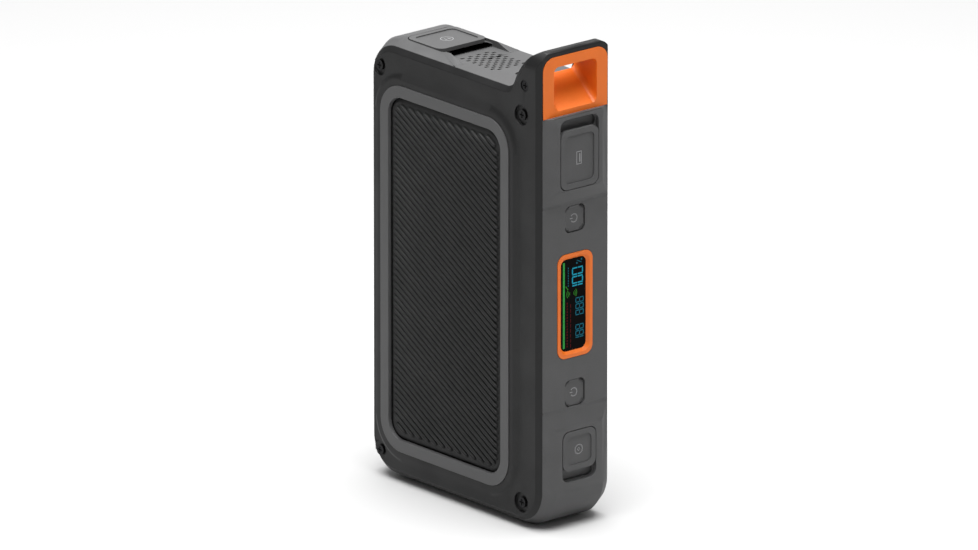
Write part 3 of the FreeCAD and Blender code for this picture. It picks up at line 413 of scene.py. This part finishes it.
def mark(bm, y, z, wide, tall, lean=0.0):
    """One lit bar of the display, in millimetres from the middle of the side."""
    spot = Vector((display_x, y * MM, display_z + z * MM))
    bar(bm, spot, (LIGHT_THICK, wide * MM, tall * MM), lean)


def column(bm, y, start_z, pitch, count, wide, tall):
    """Like bars one above the other."""
    for number in range(count):
        mark(bm, y, start_z + number * pitch, wide, tall)


# Which of the seven bars are lit: top, upper left, upper right, middle, lower left, lower right
# and bottom.
FIGURES = {"0": "1110111", "1": "0010010", "8": "1111111"}


def figures(bm, text, start_z, foot_y, height, width, stroke):
    """Seven-segment figures that read upwards, with their tops to the left."""
    for sign in text:
        begin, end = start_z, start_z + width
        if sign == "1":
            begin, end = start_z - width * 0.7, start_z + width * 0.3
        centre, half = (begin + end) / 2, height / 2
        upper, lower = foot_y - height * 0.75, foot_y - height * 0.25
        spots = (
            (foot_y - height + stroke / 2, centre), (upper, begin), (upper, end),
            (foot_y - half, centre), (lower, begin), (lower, end), (foot_y - stroke / 2, centre),
        )
        for on, (y, z) in zip(FIGURES[sign], spots):
            if on == "1" and z == centre:
                mark(bm, y, z, stroke, width - stroke * 1.3)
            elif on == "1":
                mark(bm, y, z, half - stroke * 0.7, stroke)
        start_z = end + stroke * 1.9


def light(bm, name, colour):
    """The marks of one colour as one piece."""
    finished(bm, name, lit("lit_" + name, colour), levelled=False)


bm = bmesh.new()
figures(bm, "100", 8.4, 6.4, 7.2, 3.3, 0.66)
light(bm, "charge_figures", (0.008, 0.19, 0.27))

# The percent mark, the two rows of power figures, and a row of small steps.
bm = bmesh.new()
mark(bm, 2.4, 20.9, 0.9, 0.9)
mark(bm, 5.4, 22.4, 0.9, 0.9)
mark(bm, 3.9, 21.6, 3.4, 0.35, -0.5)
figures(bm, "888", -6.2, 6.9, 5.4, 2.3, 0.5)
figures(bm, "188", -18.7, 6.9, 5.4, 2.3, 0.5)
column(bm, -3.2, 10.0, 1.3, 8, 0.45, 0.8)
light(bm, "teal_figures", (0.004, 0.075, 0.11))

# Two dark red rows of small bars, and the green charge bar in ten steps.
bm = bmesh.new()
column(bm, -3.9, -21.6, 1.5, 16, 0.7, 0.95)
column(bm, -1.7, -21.6, 2.6, 9, 0.45, 1.9)
light(bm, "red_marks", (0.045, 0.0015, 0.002))
bm = bmesh.new()
column(bm, -6.1, -20.2, 4.5, 10, 1.2, 4.4)
light(bm, "charge_bar", (0.02, 0.19, 0.035))

# The two waves of the charging plate, and a bolt.
bm = bmesh.new()
for centre_y, way in ((-1.3, -1), (-0.6, 1)):
    for radius in (1.1, 2.0, 2.9):
        for step in range(-3, 4):
            spin = step * 0.2
            y = centre_y + way * radius * math.cos(spin)
            mark(bm, y, 5.6 + radius * math.sin(spin), 0.34, radius * 0.21, way * spin)
mark(bm, -4.4, 9.3, 0.5, 1.6, 0.6)
mark(bm, -3.8, 8.5, 0.5, 1.6, 0.6)
light(bm, "green_marks", (0.02, 0.13, 0.012))


# ---------------------------------------------------------------- covers of the sockets
# Soft grey flaps that lie flush in the bumpers. Each has a raised rim around a sunk field with a
# printed mark, and a short strap of its own rubber holds it to the case.
cover_rubber = moulded("soft_grey_rubber", (0.066, 0.066, 0.067), 0.60, relief=0.14, sheen=0.05)
print_grey = moulded("printed_light_grey", (0.26, 0.26, 0.265), 0.6, grain=7000.0, relief=0.05)
PRINT = 0.05 * MM
RING_STEPS = 20
COVER_FIELD = 0.6 * MM
STRAP_WIDTH = 7.6 * MM
STRAP_THICK = 1.0 * MM
STRAP_HOLD = 0.2 * MM
STRAP_BENDS = 10


def ringed(bm, centre, radius, stroke, flat, gap=0.0):
    """A printed ring of short bars around X or Z, open over part of its turn."""
    arm = radius * math.pi * 2.08 / RING_STEPS
    for step in range(RING_STEPS):
        spin = 2 * math.pi * (step + 0.5) / RING_STEPS
        if abs(spin - math.pi) > math.pi - gap:
            continue
        if flat == "X":
            spot = centre + Vector((0, -math.cos(spin), math.sin(spin))) * radius
            bar(bm, spot, (PRINT, stroke, arm), spin, "X")
        else:
            spot = centre + Vector((math.cos(spin), math.sin(spin), 0)) * radius
            bar(bm, spot, (stroke, arm, PRINT), spin, "Z")


for name in ("usb_cover", "dc_cover", "ac_cover"):
    eased(name, name + "_flap", 0.35 * MM, cover_rubber, name + "_flap")

low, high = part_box("usb_cover")
spot = Vector((high.x - COVER_FIELD, 0, (low.z + high.z) / 2))
bm = bmesh.new()
for y in (-1.5, 1.5):
    bar(bm, spot + Vector((0, y * MM, 0)), (PRINT, 0.35 * MM, 6.75 * MM))
for z in (-3.2, 3.2):
    bar(bm, spot + Vector((0, 0, z * MM)), (PRINT, 2.6 * MM, 0.35 * MM))
bar(bm, spot + Vector((0, 0.5 * MM, 0)), (PRINT, 0.6 * MM, 4.4 * MM))
finished(bm, "usb_cover_mark", print_grey, "usb_cover_flap", levelled=False)

low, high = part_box("dc_cover")
spot = Vector((high.x - COVER_FIELD, 0, (low.z + high.z) / 2))
bm = bmesh.new()
ringed(bm, spot, 2.4 * MM, 0.35 * MM, "X")
ringed(bm, spot, 0.7 * MM, 0.5 * MM, "X")
finished(bm, "dc_cover_mark", print_grey, "dc_cover_flap", levelled=False)

low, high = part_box("ac_cover")
spot = Vector(((low.x + high.x) / 2, 0, high.z - COVER_FIELD))
bm = bmesh.new()
ringed(bm, spot, 3.2 * MM, 0.4 * MM, "Z")
for y in (-1.1, 1.1):
    bar(bm, spot + Vector((0.4 * MM, y * MM, 0)), (2.4 * MM, 0.55 * MM, PRINT))
finished(bm, "ac_cover_mark", print_grey, "ac_cover_flap", levelled=False)


def strap(name, anchor_node, start, end, thick_axis):
    """The strip of rubber that bends when a cover opens."""
    bm = bmesh.new()
    made = bmesh.ops.create_cube(bm, size=1.0)["verts"]
    size = Vector((abs(end.x - start.x), STRAP_WIDTH, abs(end.z - start.z)))
    size[thick_axis] = STRAP_THICK
    place = Matrix.Translation((start + end) / 2) @ Matrix.Diagonal((*size, 1.0))
    bmesh.ops.transform(bm, matrix=place, verts=made)
    bmesh.ops.bevel(
        bm, geom=bm.edges[:], offset=0.3 * MM, offset_type="OFFSET", affect="EDGES", segments=2,
        profile=0.5, clamp_overlap=True, material=-1,
    )
    for cut in range(1, STRAP_BENDS):
        whole = bm.verts[:] + bm.edges[:] + bm.faces[:]
        spot = start.lerp(end, cut / STRAP_BENDS)
        bmesh.ops.bisect_plane(bm, geom=whole, plane_co=spot, plane_no=end - start)
    item = finished(bm, name, cover_rubber, body=None, levelled=False)
    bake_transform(item)
    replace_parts(item, anchor_node)


for name in ("usb_cover", "dc_cover"):
    low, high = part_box(name + "_anchor")
    flap_low, flap_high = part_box(name)
    z = (low.z + high.z) / 2
    strap(name + "_strap", name + "_anchor", Vector((low.x, 0, z)),
          Vector((flap_low.x + STRAP_HOLD, 0, z)), 2)
low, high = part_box("ac_cover_anchor")
flap_low, flap_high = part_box("ac_cover")
x = (low.x + high.x) / 2
strap("ac_cover_strap", "ac_cover_anchor", Vector((x, 0, low.z)),
      Vector((x, 0, flap_low.z + STRAP_HOLD)), 0)


# ---------------------------------------------------------------- buttons
# Soft square keys with rounded corners, a little below the case, with a shallow dish and a
# printed mark for on and off.
button_rubber = moulded("soft_key_rubber", (0.066, 0.066, 0.067), 0.55, relief=0.12, sheen=0.05)
BUTTONS = {
    "usb_button": ("usb_key", "X"), "dc_button": ("dc_key", "X"), "ac_button": ("ac_key", "Z"),
}
DISH_DEPTH = 0.35 * MM
DISH_EDGE = 1.5 * MM
for name, (body, facing) in BUTTONS.items():
    low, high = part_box(name)
    level = high.x if facing == "X" else high.z
    across = 0 if facing == "X" else 2
    bm = solid_of(name)
    crown = [
        face for face in bm.faces
        if all(abs(vertex.co[across] - level) < 1e-6 for vertex in face.verts)
    ]
    bmesh.ops.inset_region(bm, faces=crown, thickness=DISH_EDGE, depth=0.0, use_even_offset=True)
    for face in crown:
        for vertex in face.verts:
            vertex.co[across] -= DISH_DEPTH
    ease(bm, 0.3 * MM, 12.0,
         lambda edge: min(vertex.co[across] for vertex in edge.verts) > level - 0.4 * MM)
    item = finished(bm, name + "_key", button_rubber, body)
    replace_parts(item, name)
    spot = (low + high) / 2
    spot[across] = level - DISH_DEPTH
    bm = bmesh.new()
    ringed(bm, spot, 2.1 * MM, 0.4 * MM, facing, gap=0.5)
    if facing == "X":
        bar(bm, spot + Vector((0, -1.7 * MM, 0)), (PRINT, 1.8 * MM, 0.4 * MM))
    else:
        bar(bm, spot + Vector((1.7 * MM, 0, 0)), (1.8 * MM, 0.4 * MM, PRINT))
    finished(bm, name + "_mark", print_grey, body, levelled=False)


# ---------------------------------------------------------------- sockets behind the covers
# Steel connector shells with dark tongues, round jacks and a two-blade mains socket, each at the
# bottom of its bay in a plate of plain black plastic.
socket_plastic = moulded("plain_black_moulding", (0.022, 0.022, 0.023), 0.45, relief=0.1)
dress(socket_plastic, "usb_port_plate", "dc_port_plate", "dc_jacks", "ac_socket", "lcd_module",
      "usb_switch", "dc_switch", "ac_switch", "power_transistors", "fan_frame", "fan_rotor",
      "capacitors")
bright_steel = moulded("plated_steel", (0.52, 0.52, 0.53), 0.28, grain=6000.0, relief=0.08,
                       metal=1.0)
dress(bright_steel, "usb_a_ports", "usb_c_port", "board_screws")


# ---------------------------------------------------------------- battery
# Twelve cylindrical cells in shrink sleeves stand between two white holders, joined by welded
# nickel strips, with the guard board along one end.
sleeve = moulded("blue_shrink_sleeve", (0.03, 0.16, 0.36), 0.3, grain=1500.0, relief=0.06,
                 coat=0.3)
dress(sleeve, "battery_cells")
white_plastic = moulded("plain_white_moulding", (0.68, 0.68, 0.65), 0.5, relief=0.1)
dress(white_plastic, "cell_holder_left", "cell_holder_right", "fuse")
nickel = moulded("rolled_nickel", (0.58, 0.56, 0.50), 0.32, grain=2500.0, relief=0.15, metal=1.0)
dress(nickel, "nickel_strips", "board_standoffs")


# ---------------------------------------------------------------- boards and power parts
# Glass-fibre boards under green solder mask carry a ferrite transformer with enamelled copper
# windings, an extruded aluminium heat sink and the charging coil on its ferrite disc.
board = moulded("green_solder_mask", (0.02, 0.13, 0.05), 0.35, grain=1200.0, relief=0.12,
                drift=0.2, coat=0.2)
dress(board, "control_board", "inverter_board", "guard_board", "ac_switch_board")
ferrite = moulded("pressed_ferrite", (0.05, 0.05, 0.052), 0.6, grain=3000.0, relief=0.3)
dress(ferrite, "transformer_core", "ferrite_disc")
copper = moulded("enamelled_copper", (0.55, 0.22, 0.08), 0.3, grain=2600.0, relief=0.3, metal=0.9)
dress(copper, "transformer_windings", "charging_coil")
aluminium = moulded("extruded_aluminium", (0.58, 0.59, 0.60), 0.35, grain=4000.0, relief=0.15,
                    metal=1.0)
dress(aluminium, "heat_sink")
